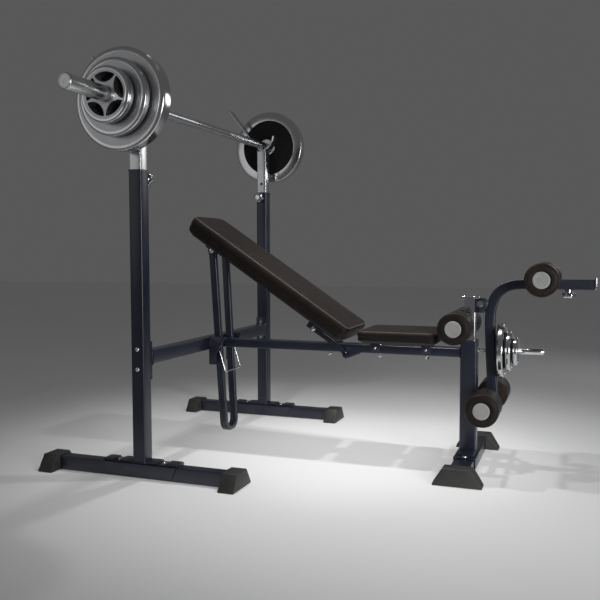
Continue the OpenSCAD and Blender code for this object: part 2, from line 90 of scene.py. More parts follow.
class Nodes:
    """Short names for building one procedural material."""

    def __init__(self, name):
        self.mat = bpy.data.materials.new(name)
        self.mat.use_nodes = True
        self.tree = self.mat.node_tree
        self.tree.nodes.clear()
        self.bsdf = self.node("BsdfPrincipled")
        self.link(self.bsdf.outputs[0], self.node("OutputMaterial").inputs[0])
        self.coord = self.node("TexCoord").outputs["Object"]

    def link(self, a, b):
        self.tree.links.new(a, b)

    def node(self, kind, at=None, **values):
        """New node with its vector linked to at and the named sockets set."""
        n = self.tree.nodes.new("ShaderNode" + kind)
        if at is not None:
            self.link(at, n.inputs["Vector"])
        for key, value in values.items():
            n.inputs[key.replace("_", " ")].default_value = value
        return n

    def place(self, offset=(0, 0, 0), scale=(1, 1, 1)):
        return self.node("Mapping", self.coord, Location=offset, Scale=scale).outputs[0]

    def noise(self, scale, detail=3, rough=0.5, at=None, distort=0.0):
        return self.node("TexNoise", at or self.coord, Scale=scale, Detail=detail, Roughness=rough,
                         Distortion=distort).outputs[0]

    def voronoi(self, scale, feature, at):
        n = self.node("TexVoronoi", at, Scale=scale)
        n.feature = feature
        return n.outputs[0]

    def wave(self, scale, kind, at, distort=0.0):
        """Bands along Y or rings round it."""
        n = self.node("TexWave", at, Scale=scale, Distortion=distort, Detail=1)
        n.wave_type = kind
        n.bands_direction = n.rings_direction = "Y"
        return n.outputs[1]

    def ramp(self, fac, low, high, a=0.0, b=1.0):
        """Map the range a to b onto low to high."""
        n = self.node("MapRange", From_Min=a, From_Max=b, To_Min=low, To_Max=high)
        self.link(fac, n.inputs["Value"])
        return n.outputs[0]

    def mix(self, fac, a, b):
        n = self.node("Mix")
        n.data_type = "RGBA"
        self.link(fac, n.inputs["Factor"])
        for socket, value in (("A", a), ("B", b)):
            target = [s for s in n.inputs if s.name == socket and s.type == "RGBA"][0]
            if isinstance(value, tuple):
                target.default_value = (*value, 1)
            else:
                self.link(value, target)
        return [s for s in n.outputs if s.type == "RGBA"][0]

    def cloudy(self, noise, a, b):
        """Mix of two colours over the middle of a noise."""
        return self.mix(self.ramp(noise, 0, 1, 0.3, 0.7), a, b)

    def math(self, op, a, b=None):
        n = self.node("Math")
        n.operation = op
        for i, v in enumerate((a,) if b is None else (a, b)):
            if isinstance(v, (int, float)):
                n.inputs[i].default_value = v
            else:
                self.link(v, n.inputs[i])
        return n.outputs[0]

    def bump(self, height, distance, strength=1.0, under=None):
        n = self.node("Bump", Strength=strength, Distance=distance)
        self.link(height, n.inputs["Height"])
        if under is not None:
            self.link(under, n.inputs["Normal"])
        return n.outputs[0]

    def done(self, color, rough, normal, **fixed):
        self.link(color, self.bsdf.inputs["Base Color"])
        self.link(rough, self.bsdf.inputs["Roughness"])
        self.link(normal, self.bsdf.inputs["Normal"])
        for key, value in fixed.items():
            self.bsdf.inputs[key.replace("_", " ")].default_value = value
        return self.mat


def paint():
    n = Nodes("navy_powder_coat")
    cloud = n.noise(7, 4)
    peel = n.noise(520, 2)
    speck = n.noise(90, 6, 0.7)
    color = n.cloudy(cloud, (0.0064, 0.0081, 0.018), (0.0119, 0.0145, 0.029))
    rough = n.math("ADD", n.ramp(speck, 0.27, 0.33, 0.3, 0.7), n.ramp(cloud, -0.02, 0.04))
    normal = n.bump(peel, 0.00008, 0.12)
    return n.done(color, rough, normal, Coat_Weight=0.2, Coat_Roughness=0.22)


def chrome(name="chrome", base=(0.74, 0.75, 0.77), low=0.06, high=0.15):
    n = Nodes(name)
    smudge = n.noise(11, 5, 0.6)
    fine = n.noise(300, 3)
    color = n.mix(n.ramp(smudge, 0, 1, 0.35, 0.7), base, tuple(c * 0.9 for c in base))
    rough = n.ramp(smudge, low, high, 0.3, 0.75)
    return n.done(color, rough, n.bump(fine, 0.00005, 0.15), Metallic=1.0)


def satin_plate():
    """Turned face: fine rings round the axis of the discs."""
    n = Nodes("satin_plate_y")
    rings = n.wave(240, "RINGS", n.place(offset=(-RACK_X, 0, -BAR_Z * MM)), 0.3)
    cloud = n.noise(14, 4, 0.6)
    color = n.cloudy(cloud, (0.50, 0.505, 0.515), (0.58, 0.585, 0.595))
    rough = n.math("ADD", n.ramp(rings, 0.34, 0.40), n.ramp(cloud, -0.03, 0.05))
    normal = n.bump(rings, 0.00004, 0.35, n.bump(n.noise(60, 4), 0.0002, 0.12))
    return n.done(color, rough, normal, Metallic=1.0)


# Near-black disc back: painted shade for the dark gap where discs stand against each other
def disc_gap_shade():
    n = Nodes("disc_gap_painted_shade")
    grain = n.noise(180, 5, 0.6)
    color = n.mix(grain, (0.0025, 0.0025, 0.0027), (0.006, 0.006, 0.0063))
    return n.done(color, n.ramp(grain, 0.5, 0.68), n.bump(grain, 0.0003, 0.3), Specular_IOR_Level=0.22)


def turned_sleeve():
    """Finely ribbed loading sleeve, ribs round the bar, with painted highlight and shade across each rib."""
    n = Nodes("ribbed_sleeve")
    ribs = n.wave(105, "BANDS", n.place())
    cloud = n.noise(20, 4, 0.6)
    # Painted highlight on the ribs and painted shade between them
    color = n.mix(n.ramp(ribs, 0, 1), (0.58, 0.585, 0.59), (0.90, 0.905, 0.91))
    rough = n.math("ADD", n.ramp(ribs, 0.28, 0.18), n.ramp(cloud, -0.02, 0.05))
    return n.done(color, rough, n.bump(ribs, 0.0002, 0.4), Metallic=1.0)


def knurl():
    """Diamond knurling round the gripping shaft, along Y."""
    n = Nodes("knurled_chrome")
    at = n.place(offset=(-RACK_X, 0, -BAR_Z * MM))
    split = n.node("SeparateXYZ", at)
    turn = n.math("ARCTAN2", split.outputs[2], split.outputs[0])
    a = n.math("MULTIPLY", turn, 44.0)
    b = n.math("MULTIPLY", split.outputs[1], 2450.0)
    one = n.math("SINE", n.math("ADD", a, b))
    two = n.math("SINE", n.math("SUBTRACT", a, b))
    height = n.math("MULTIPLY", one, two)
    # Painted shade in the knurl's grooves and painted highlight on its peaks: colour follows the pattern's height
    color = n.mix(n.ramp(height, 0, 1, -0.6, 0.6), (0.56, 0.57, 0.585), (0.72, 0.73, 0.75))
    rough = n.ramp(height, 0.24, 0.16, -1, 1)
    return n.done(color, rough, n.bump(height, 0.00012, 0.25), Metallic=1.0)


def leather(name, dark, light, grain_scale, rough):
    """Grained vinyl with fine creases, soft folds and uneven tone; painted shade darkens the creases."""
    n = Nodes(name)
    at = n.place()
    cells = n.voronoi(grain_scale, "DISTANCE_TO_EDGE", at)
    pebble = n.voronoi(grain_scale * 0.55, "F1", at)
    fold = n.noise(28, 5, 0.6, at, 0.8)
    cloud = n.noise(5, 4, 0.6)
    tone = n.math("ADD", n.ramp(cloud, 0, 0.65, 0.3, 0.7), n.ramp(fold, 0, 0.35, 0.35, 0.7))
    color = n.mix(tone, dark, light)
    # Painted shade: colour pulled darker along the grain's creases
    crease_shade = n.ramp(cells, 1, 0, 0, 0.10)
    color = n.mix(n.math("MULTIPLY", crease_shade, 0.55), color, tuple(c * 0.45 for c in dark))
    r = n.math("ADD", n.ramp(pebble, rough[0], rough[1]), n.ramp(fold, -0.05, 0.07, 0.3, 0.7))
    normal = n.bump(n.ramp(cells, 0, 1, 0, 0.12), 0.00028, 0.55)
    normal = n.bump(pebble, 0.0003, 0.25, normal)
    normal = n.bump(fold, 0.0022, 0.22, normal)
    return n.done(color, r, normal, Sheen_Weight=0.02, Coat_Weight=0.02, Coat_Roughness=0.4,
                  Specular_IOR_Level=0.15)


def rubber(name="charcoal_rubber", base=(0.018, 0.018, 0.017), top=(0.031, 0.031, 0.029)):
    n = Nodes(name)
    grain = n.noise(420, 4, 0.65)
    cloud = n.noise(16, 4)
    color = n.cloudy(cloud, base, top)
    rough = n.math("ADD", n.ramp(grain, 0.42, 0.62), n.ramp(cloud, -0.04, 0.06))
    return n.done(color, rough, n.bump(grain, 0.00025, 0.4))


def plastic():
    n = Nodes("pale_end_disc")
    cloud = n.noise(24, 4)
    grain = n.noise(600, 3)
    color = n.cloudy(cloud, (0.25, 0.25, 0.245), (0.30, 0.30, 0.295))
    return n.done(color, n.ramp(cloud, 0.32, 0.5, 0.3, 0.7), n.bump(grain, 0.0001, 0.3))


def wood():
    """Board under a pad, stained black, with the grain along the bench."""
    n = Nodes("black_stained_board")
    at = n.place(scale=(1.2, 14, 14))
    grain = n.noise(9, 6, 0.65, at, 1.2)
    color = n.cloudy(grain, (0.010, 0.009, 0.008), (0.026, 0.023, 0.020))
    return n.done(color, n.ramp(grain, 0.55, 0.75), n.bump(grain, 0.0004, 0.4))


def floor_material():
    n = Nodes("pale_floor")
    cloud = n.noise(0.9, 3)
    grain = n.noise(60, 3)
    color = n.cloudy(cloud, (0.91, 0.91, 0.91), (0.93, 0.93, 0.93))
    return n.done(color, n.ramp(cloud, 0.5, 0.6), n.bump(grain, 0.0002, 0.1), Specular_IOR_Level=0.3)


PAINT = paint()
CHROME = chrome()
KNURL = knurl()
SATIN = satin_plate()
RIM = chrome("polished_rim", (0.66, 0.665, 0.68), 0.10, 0.22)
DISC_GAP_SHADE = disc_gap_shade()
LEATHER = leather("brown_vinyl", (0.0070, 0.0045, 0.0036), (0.0142, 0.0094, 0.0078), 420, (0.46, 0.60))
BAND = leather("brown_vinyl_band", (0.0070, 0.0049, 0.0042), (0.0140, 0.0098, 0.0086), 420, (0.36, 0.52))
# Painted highlight: the piping's vinyl is made many times lighter than the pad's, standing for the light line
# along it
PIPING_HIGHLIGHT = leather("piping_painted_highlight", (0.095, 0.074, 0.066), (0.150, 0.120, 0.108), 600, (0.28, 0.4))
ROLLER = leather("roller_vinyl", (0.0086, 0.0060, 0.0049), (0.0172, 0.0122, 0.0100), 480, (0.30, 0.44))
RUBBER = rubber()
BLACK_RUBBER = rubber("black_rubber", (0.006, 0.006, 0.006), (0.014, 0.014, 0.014))
DISC = plastic()
WOOD = wood()
GUNMETAL = chrome("blackened_steel", (0.060, 0.062, 0.070), 0.30, 0.42)
RIBBED = turned_sleeve()
RISER = chrome("satin_chrome", (0.57, 0.58, 0.59), 0.20, 0.30)

# ------------------------------------------------------------------ mesh tools

new = bmesh.new


def mesh_of(bm, name):
    """Store a bmesh as a mesh and free it."""
    me = bpy.data.meshes.new(name)
    bm.to_mesh(me)
    bm.free()
    return me


def add_object(name, data):
    ob = bpy.data.objects.new(name, data)
    bpy.context.scene.collection.objects.link(ob)
    return ob


def keep_evaluated(ob):
    """Make an object's evaluated shape its own mesh and drop its modifiers."""
    me = bpy.data.meshes.new_from_object(ob.evaluated_get(bpy.context.evaluated_depsgraph_get()))
    ob.modifiers.clear()
    ob.data = me
    return me


def piece(name, bm, mats, node=None, body=None, sharp=34, place=IN_RACK):
    """Turn a bmesh in millimetres, placed in the rack, into a piece that rides on a body."""
    bmesh.ops.recalc_face_normals(bm, faces=bm.faces)
    for f in bm.faces:
        f.smooth = True
    for e in bm.edges:
        if len(e.link_faces) == 2 and e.calc_face_angle(0) > radians(sharp):
            e.smooth = False
    bm.transform(TO_WORLD @ place)
    me = mesh_of(bm, name)
    for m in mats if isinstance(mats, list) else [mats]:
        me.materials.append(m)
    ob = add_object(name, me)
    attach(ob, body or BODY_OF[node])
    if node:
        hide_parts(node)
    return ob


def arc(cx, cy, r, a0, a1, n):
    """Points on an arc from a0 to a1 degrees."""
    angles = [radians(a0 + (a1 - a0) * k / n) for k in range(n + 1)]
    return [(cx + r * cos(a), cy + r * sin(a)) for a in angles]


def rrect(w, h, r, n=4):
    """Rounded rectangle outline, anticlockwise."""
    pts = []
    for cx, cy, a0 in ((1, 1, 0), (-1, 1, 90), (-1, -1, 180), (1, -1, 270)):
        pts += arc(cx * (w / 2 - r), cy * (h / 2 - r), r, a0, a0 + 90, n)
    return pts


def circle(n):
    """Cosine and sine of n equal steps round a circle."""
    return [(cos(a), sin(a)) for a in (2 * pi * k / n for k in range(n))]


def washer(r0, r1, h0, h1):
    """Lathe profile of a washer, or of a rod where r0 is 0."""
    return [(r0, h0), (r1, h0), (r1, h1), (r0, h1)]


def span(s, near, far):
    """Low and high y of a range on side s of the bench."""
    return sorted((s * near, s * far))


def bridge(bm, a, b):
    """Faces between two rings of vertices."""
    for i in range(len(a)):
        j = (i + 1) % len(a)
        bm.faces.new((a[i], a[j], b[j], b[i]))


def loft(bm, rings, caps=True):
    """Skin through rings of points, with a face over each end if caps."""
    vs = [[bm.verts.new(p) for p in ring] for ring in rings]
    for a, b in zip(vs, vs[1:]):
        bridge(bm, a, b)
    if caps:
        bm.faces.new(vs[0][::-1])
        bm.faces.new(vs[-1])
    return vs


def section_ring(at, side, up, outline):
    return [at + side * u + up * v for u, v in outline]


def along(p0, p1, side=None):
    """Ends, direction, side and up of a straight tube. Its side is across the bench by default."""
    p0, p1 = Vector(p0), Vector(p1)
    d = (p1 - p0).normalized()
    side = Vector(side or (0, 1, 0))
    return p0, p1, d, side, d.cross(side).normalized()


def tube_outlines(w, h, r):
    """Full outline of a tube and the smaller one of its chamfered end."""
    return rrect(w, h, r), rrect(w - 2 * CHAMFER, h - 2 * CHAMFER, r - CHAMFER)


def solid_bar(bm, p0, p1, w, h, r):
    """Straight rounded bar with closed ends. w runs across the bench."""
    p0, p1, d, side, up = along(p0, p1)
    full, small = tube_outlines(w, h, r)
    steps = [(p0, small), (p0 + d * CHAMFER, full), (p1 - d * CHAMFER, full), (p1, small)]
    loft(bm, [section_ring(at, side, up, outline) for at, outline in steps])


def hollow(bm, p0, p1, w, h, r, wall, side=None):
    """Straight tube, open from end to end."""
    p0, p1, d, side, up = along(p0, p1, side)
    full, small = tube_outlines(w, h, r)
    inner = rrect(w - 2 * wall, h - 2 * wall, max(r - wall, 0.8))
    far = (p1 - p0).length
    steps = [(0, small), (CHAMFER, full), (far - CHAMFER, full), (far, small), (far, inner), (0, inner)]
    vs = loft(bm, [section_ring(p0 + d * a, side, up, s) for a, s in steps], False)
    bridge(bm, vs[-1], vs[0])


def weld(bm, at, d, w, h, r, side=None, size=4.0):
    """Bead of weld round the foot of a tube that stands on a face."""
    at, _, d, side, up = along(at, Vector(at) + Vector(d), side)
    rings = []
    for grow, lift in ((size, 0.0), (size * 0.92, size * 0.35), (size * 0.5, size * 0.8), (0.15, size),
                       (-1.0, size * 0.5)):
        rings.append(section_ring(at + d * lift, side, up, rrect(w + 2 * grow, h + 2 * grow, r + grow, 5)))
    for k, ring in enumerate(rings[1:-1], 1):
        for i in range(len(ring)):
            ring[i] += d * 0.35 * sin(i * 2.4 + k)
    loft(bm, rings, False)


def fillet(pts, radii, n):
    """Replace the inner corners of a polyline by arcs, one radius for each corner."""
    pts = [Vector(p) for p in pts]
    out = [pts[0]]
    for r, a, b, c in zip(radii, pts, pts[1:], pts[2:]):
        u, v = (a - b).normalized(), (c - b).normalized()
        ang = u.angle(v)
        t = r / tan(ang / 2)
        centre = b + (u + v).normalized() * (r / sin(ang / 2))
        s, e = b + u * t - centre, b + v * t - centre
        axis = s.cross(e).normalized()
        for k in range(n + 1):
            out.append(centre + Matrix.Rotation((pi - ang) * k / n, 3, axis) @ s)
    out.append(pts[-1])
    return out


def bent(bm, pts, w, h, r, side=(0, 1, 0), round_section=False):
    """Sweep a rounded section along a flat path. side is the direction across the path's plane."""
    side = Vector(side)
    outline = [(w / 2 * c, w / 2 * s) for c, s in circle(14)] if round_section else rrect(w, h, r)
    rings = []
    for i, p in enumerate(pts):
        before = (p - pts[i - 1]).normalized() if i else (pts[1] - p).normalized()
        after = (pts[i + 1] - p).normalized() if i < len(pts) - 1 else before
        t = (before + after).normalized()
        stretch = 1 / max(t.dot(before), 0.3)
        rings.append(section_ring(p, side, t.cross(side).normalized() * stretch, outline))
    loft(bm, rings)


def lathe(bm, profile, origin, axis, n=72, mats=None):
    """Turn (radius, height) points about an axis through origin. One material index per step."""
    o, d = Vector(origin), Vector(axis).normalized()
    u = (d.cross(Vector((0, 0, 1))) if abs(d.z) < 0.9 else d.orthogonal()).normalized()
    v = d.cross(u).normalized()
    rows = []
    closed = len(profile) > 3 and profile[0] == profile[-1]
    for r, h in profile[:-1] if closed else profile:
        if r < 1e-6:
            rows.append([bm.verts.new(o + d * h)])
        else:
            rows.append([bm.verts.new(o + d * h + (u * c + v * s) * r) for c, s in circle(n)])
    if closed:
        rows.append(rows[0])
    for k, (a, b) in enumerate(zip(rows, rows[1:])):
        for i in range(n):
            j = (i + 1) % n
            # A row on the axis is one vertex, so its faces are triangles
            corners = dict.fromkeys((a[i % len(a)], a[j % len(a)], b[j % len(b)], b[i % len(b)]))
            bm.faces.new(list(corners)).material_index = mats[k] if mats else 0


def prism(bm, outline, plane, a0, a1, bevel, seg=2):
    """Extrude a flat outline between a0 and a1 and round its edges. plane is xz, yz or xy."""
    def at(u, v, a):
        return {"xz": (u, a, v), "yz": (a, u, v), "xy": (u, v, a)}[plane]

    tmp = new()
    low = [tmp.verts.new(at(u, v, a0)) for u, v in outline]
    high = [tmp.verts.new(at(u, v, a1)) for u, v in outline]
    tmp.faces.new(low)
    tmp.faces.new(high[::-1])
    for i in range(len(outline)):
        j = (i + 1) % len(outline)
        tmp.faces.new((low[i], high[i], high[j], low[j]))
    bmesh.ops.recalc_face_normals(tmp, faces=tmp.faces)
    if bevel:
        edges = [e for e in tmp.edges if e.calc_face_angle(0) > 0.35]
        bmesh.ops.bevel(tmp, geom=edges, offset=bevel, segments=seg, profile=0.5, affect="EDGES",
                        clamp_overlap=True)
    me = mesh_of(tmp, "prism")
    bm.from_mesh(me)
    bpy.data.meshes.remove(me)


def rbox(bm, x0, x1, y0, y1, z0, z1, bevel, seg=2):
    prism(bm, [(x0, y0), (x1, y0), (x1, y1), (x0, y1)], "xy", z0, z1, bevel, seg)


def dome_head(bm, at, axis, r, t):
    """Carriage-bolt head standing on a face."""
    dome = [(r * u, t * 0.25 + t * 0.75 * v) for u, v in arc(0, 0, 1, 18, 72, 3)]
    lathe(bm, [(r, -0.5), (r, t * 0.25), *dome, (0, t)], at, axis, 28)


def hex_nut(bm, at, axis, r, t):
    """Nut with a chamfered top, from at along axis."""
    o, d = Vector(at), Vector(axis).normalized()
    u = d.orthogonal().normalized()
    v = d.cross(u)
    loft(bm, [[o + d * h + (u * c + v * s) * r * scale for c, s in circle(6)]
              for scale, h in ((1.0, 0), (1.0, t * 0.8), (0.86, t))])


def lobed_knob(bm, at, axis, r, depth, lobes, swell):
    """Hand knob with soft lobes and a crowned face."""
    o, d = Vector(at), Vector(axis).normalized()
    u = d.orthogonal().normalized()
    v = d.cross(u)
    rings = []
    for scale, h in ((0.78, 0), (0.94, depth * 0.08), (1, depth * 0.22), (1, depth * 0.74),
                     (0.95, depth * 0.9), (0.80, depth * 0.98), (0.45, depth), (0.40, depth - 1.2),
                     (0.05, depth - 1.2)):
        wave = swell * (1 if scale > 0.6 else 0.3)
        ring = []
        for k, (c, s) in enumerate(circle(72)):
            reach = (r - swell + wave * cos(lobes * 2 * pi * k / 72)) * scale
            ring.append(o + d * h + (u * c + v * s) * reach)
        rings.append(ring)
    loft(bm, rings)


def cut(ob, cutters):
    """Take closed cutter meshes out of a piece and keep the result as its mesh."""
    for bm in cutters:
        bm.transform(TO_WORLD)
        me = mesh_of(bm, "cutter")
        tool = add_object("cutter", me)
        mod = ob.modifiers.new("cut", "BOOLEAN")
        mod.operation = "DIFFERENCE"
        mod.solver = "EXACT"
        mod.object = tool
        bpy.context.view_layer.update()
        keep_evaluated(ob)
        bpy.data.objects.remove(tool)
        bpy.data.meshes.remove(me)


# ------------------------------------------------------------------ rack

bm = new()
for s in (-1, 1):
    y = s * POST_Y
    hollow(bm, (0, y, SADDLE_Z), (0, y, POST_TOP), 50, 50, 5, 2.0)
    weld(bm, (0, y, SADDLE_Z + 0.1), (0, 0, 1), 50, 50, 5)
    lathe(bm, [(8.3, 0), (15, 0), (15, 9.5), (13.2, 12), (8.3, 12), (8.3, 0)], (0, s * 525, KNOB_Z),
          (0, -s, 0), 40)
    lip = ((50.0, -9), (51.8, -8.5), (51.8, -0.8), (50.6, 0), (46.2, 0), (46.2, -7))
    loft(bm, [[Vector((u, y + v, POST_TOP + h)) for u, v in rrect(w, w, 5.4, 6)] for w, h in lip], False)
piece("rack_posts", bm, PAINT, "uprights")

bm = new()
for s in (-1, 1):
    y = s * POST_Y
    side_plate = [(-145, SADDLE_Z), (-127, 14), (131, 14), (150, SADDLE_Z)]
    for e in (-1, 1):
        prism(bm, side_plate, "xz", *sorted((y + e * 25.2, y + e * 29.2)), 1.0)
    rbox(bm, -145, 150, y - 29.2, y + 29.2, 52.0, SADDLE_Z, 1.0)
    for x0, x1, t in ((-145, -103, 6), (104, 150, 6), (-78, -25.2, 7), (25.2, 72, 7)):
        rbox(bm, x0, x1, y - 25, y + 25, 56.6, SADDLE_Z + t, 1.6)
piece("post_saddles", bm, PAINT, "saddles")

bm = new()
for s in (-1, 1):
    hollow(bm, (-386, s * POST_Y, FLOOR_TUBE_Z), (377, s * POST_Y, FLOOR_TUBE_Z), 50, 50, 4, 2.0)
piece("floor_tubes", bm, PAINT, "stabilisers")


def flared_cap(bm, a0, a1, middle, half_base, half_top, high, axis, tube_w, mouth_low):
    """Rubber end cap from a0 to a1 along its tube: flared block with a lip round the tube's mouth."""
    def at(a, u, z):
        """Point a along the tube's axis, u across it."""
        return Vector((a, u, z) if axis == "x" else (u, a, z))

    outline = [(-half_base, 0), (half_base, 0), (half_base, 5), (half_top, high), (-half_top, high),
               (-half_base, 5)]
    prism(bm, [(middle + u, v) for u, v in outline], "yz" if axis == "x" else "xz", a0, a1, 2.4, 3)
    mouth = at(a1 if mouth_low else a0, middle, FLOOR_TUBE_Z)
    d, side = at(1 if mouth_low else -1, 0, 0), at(0, 1, 0)
    up = d.cross(side).normalized()
    rings = []
    for grow, lift in ((5.0, -0.5), (5.0, 1.0), (4.2, 2.4), (3.0, 3.0), (0.25, 3.0), (0.25, -0.5)):
        # The lip stays clear of the floor
        low = 26.4 - (2 if grow > 0.5 else 0)
        lip = [(u, max(v, -low) if up.z > 0 else min(v, low))
               for u, v in rrect(tube_w + 2 * grow, 50 + 2 * grow, 4 + grow * 0.6, 5)]
        rings.append(section_ring(mouth + d * lift, side, up, lip))
    loft(bm, rings, False)
    for k in (1, 2, 3):
        a = a0 + (a1 - a0) * k / 4
        for e in (-1, 1):
            pts = [at(a, middle + e * (half_base - 1.4), 8), at(a, middle + e * (half_top + 2.4), high - 5)]
            bent(bm, pts, 2.2, 2.2, 1.0, at(1, 0, 0), True)


bm = new()
for s in (-1, 1):
    flared_cap(bm, -394, -336, s * POST_Y, 73, 38, 58, "x", 50, True)
    flared_cap(bm, 327, 385, s * POST_Y, 73, 38, 58, "x", 50, False)
piece("rack_caps", bm, RUBBER, "rack_foot_caps")

bm = new()
hollow(bm, (0, -517, BEAM_Z), (0, 517, BEAM_Z), 50, 50, 5, 2.0, (0, 0, 1))
for s in (-1, 1):
    rbox(bm, -25, 25, *span(s, 517, 524.9), 345, 480, 1.2)
    weld(bm, (0, s * 517, BEAM_Z), (0, -s, 0), 50, 50, 5, (0, 0, 1))
piece("cross_beam", bm, PAINT, "crossbar")

bm = new()
gusset = [(25.2, 452), (94, 452), (97, 449), (97, 446), (58.5, 386), (56, 380), (56, 340), (53, 337),
          (25.2, 337)]
for s in (-1, 1):
    prism(bm, gusset, "xz", *span(s, 76, 82), 0.9)
piece("beam_gussets", bm, PAINT, "gusset_plates")

bm = new()
rbox(bm, 25.2, 37, 140, 205, 418, 446, 3.0, 3)
for y in (150, 195):
    dome_head(bm, (37, y, 432), (1, 0, 0), 4, 1.2)
piece("buffer_block", bm, BLACK_RUBBER, "rubber_buffer")

# ------------------------------------------------------------------ spine, front leg and foot

bm = new()
hollow(bm, (25.2, 0, SPINE_Z), (1027.8, 0, SPINE_Z), 60, 33, 4, 2.0)
weld(bm, (1027.8, 0, SPINE_Z), (-1, 0, 0), 60, 33, 4, None, 3.2)
weld(bm, (25.2, 0, SPINE_Z), (1, 0, 0), 60, 33, 4, None, 3.2)
piece("spine_tube", bm, PAINT, "main_tube")

bm = new()
hollow(bm, (LEG_X, 0, SADDLE_Z), (LEG_X, 0, 464), 60, 60, 5, 3.0)
collar, bore = rrect(61.5, 61.5, 5.6), rrect(40.5, 40.5, 3)
loft(bm, [[Vector((x + u, v, z)) for u, v in outline] for x, outline, z in (
    (LEG_X, rrect(60, 60, 5), 463), (LEG_X, collar, 463.6), (LEG_X, collar, 467),
    (LEG_X, rrect(59.5, 59.5, 5), 468.4), (FOOT_X, bore, 468.4), (FOOT_X, bore, 463))], False)
weld(bm, (LEG_X, 0, SADDLE_Z + 0.1), (0, 0, 1), 60, 60, 5)
piece("front_upright", bm, PAINT, "front_leg")

bm = new()
hollow(bm, (FOOT_X, -289, FLOOR_TUBE_Z), (FOOT_X, 289, FLOOR_TUBE_Z), 70, 50, 4, 2.0, (1, 0, 0))
piece("front_floor_tube", bm, PAINT, "front_foot")

bm = new()
side_plate = [(-126, SADDLE_Z), (-112, 14), (112, 14), (126, SADDLE_Z)]
for e in (-1, 1):
    prism(bm, side_plate, "yz", *sorted((FOOT_X + e * 35.2, FOOT_X + e * 39.2)), 1.0)
rbox(bm, 1020.8, 1099.2, -126, 126, 52, SADDLE_Z, 1.0)
for s in (-1, 1):
    rbox(bm, 1026, 1090, *span(s, 30.4, 94), 56.6, 63, 1.6)
piece("front_saddle", bm, PAINT, "foot_sleeve")

bm = new()
flared_cap(bm, -297, -242, FOOT_X, 84, 49, 62, "y", 70, True)
flared_cap(bm, 242, 297, FOOT_X, 84, 49, 62, "y", 70, False)
piece("front_caps", bm, RUBBER, "front_foot_caps")

bm = new()
solid_bar(bm, (FOOT_X, 0, 326), (FOOT_X, 0, 624.2), 40, 40, 3)
rbox(bm, 1031, 1096, -33, 33, 624, 632, 1.4, 3)
piece("chrome_post", bm, CHROME, "leg_post")

bm = new()
for s in (-1, 1):
    lug = [(1083, 571.5), (1110, 571.5)] + arc(1101, 600, 22.5, -50, 88, 12) + [(1083, 623.5)]
    prism(bm, lug, "xz", *span(s, 22, 26), 0.8)
    ear = arc(SEAT_AXLE[0], SEAT_AXLE[2], 18, 90, 270, 14) + [(1069, 504), (1069, 540)]
    prism(bm, ear, "xz", *span(s, 20.1, 24), 0.8)
rbox(bm, 1080.1, 1084, -26, 26, 571.5, 623.5, 0.8)
piece("post_ears", bm, PAINT, "post_brackets")

bm = new()
stop = [(0, 0), (13, 0), (13, 7), (12, 8), (8, 8), (8, 22.8), (7, 24), (7, 27.5), (6, 28), (0, 28)]
lathe(bm, stop, (1088.1, 0, 432), (1, 0, 0), 40)
piece("stop_pin", bm, CHROME, "lever_stop")

bm = new()
lathe(bm, [(0, -32), (5.4, -32), (6, -31.4), (6, 31.4), (5.4, 32), (0, 32)], LEVER_PIVOT, (0, 1, 0), 32)
for s in (-1, 1):
    lathe(bm, washer(6, 12, 26.1, 27.4), LEVER_PIVOT, (0, s, 0), 32)
    hex_nut(bm, (LEVER_PIVOT[0], s * 27.4, LEVER_PIVOT[2]), (0, s, 0), 10, 4.4)
piece("lever_pivot", bm, CHROME, "lever_bolt")

bm = new()
lug = arc(HINGE.x, HINGE.z, 15, 150, 300, 16) + \
      [(648, 403), (651, 406), (651, 426), (649, 428), (600, 428), (596, 426), (579, 404)]
for s in (-1, 1):
    prism(bm, lug, "xz", *span(s, 30.2, 34), 0.8)
piece("hinge_ears", bm, PAINT, "hinge_lugs")

bm = new()
lathe(bm, [(0, -46), (7.2, -46), (8, -45), (8, 45), (7.2, 46), (0, 46)], HINGE, (0, 1, 0), 36)
for s in (-1, 1):
    lathe(bm, [(8, 41.6), (12, 41.6), (12, 44), (10, 46.6), (7, 47), (7, 46)], HINGE, (0, s, 0), 36)
piece("hinge_bolt", bm, GUNMETAL, "hinge_pin")

bm = new()
for x in STRAPS_X:
    rbox(bm, x - 18, x + 18, -62, 62, 452, 455, 0.8)
    for s in (-1, 1):
        rbox(bm, x - 18, x + 18, *span(s, 30.2, 33), 414, 452.4, 0.8)
piece("seat_straps", bm, PAINT, "seat_brackets")

# ------------------------------------------------------------------ fasteners

bm = new()
for s in (-1, 1):
    for z in (387, 457):
        dome_head(bm, (0, s * 575, z), (0, s, 0), 8, 4.8)
        hex_nut(bm, (0, s * 517, z), (0, -s, 0), 9.5, 8)
        lathe(bm, washer(0, 5, -517, -506.5), (0, 0, z), (0, -s, 0), 20)
    for x in STRAPS_X:
        dome_head(bm, (x, s * 33, 427), (0, s, 0), 5.0, 3.4)
for x in (516, 719, 901):
    dome_head(bm, (x, 0, 438), (0, 0, 1), 8.5, 5)
    lathe(bm, washer(5, 9.5, 0, -1.4), (x, 0, 405), (0, 0, 1), 28)
    hex_nut(bm, (x, 0, 400.8), (0, 0, -1), 8, 10.6)
    lathe(bm, [(0, 387), (3.4, 387), (4, 387.6), (4, 402), (0, 402)], (x, 0, 0), (0, 0, 1), 20)
piece("frame_fixings", bm, CHROME, "frame_bolts")

bm = new()
for x, y in [(x, y) for x in (-90, 87) for y in (-POST_Y, POST_Y)] + [(FOOT_X, -110), (FOOT_X, 110)]:
    lathe(bm, washer(5, 12.5, SADDLE_Z, SADDLE_Z + 1.4), (x, y, 0), (0, 0, 1), 32)
    dome_head(bm, (x, y, SADDLE_Z + 1.4), (0, 0, 1), 9.5, 4.6)
piece("floor_fixings", bm, CHROME, "deck_bolts")

# ------------------------------------------------------------------ risers, cradles, knobs

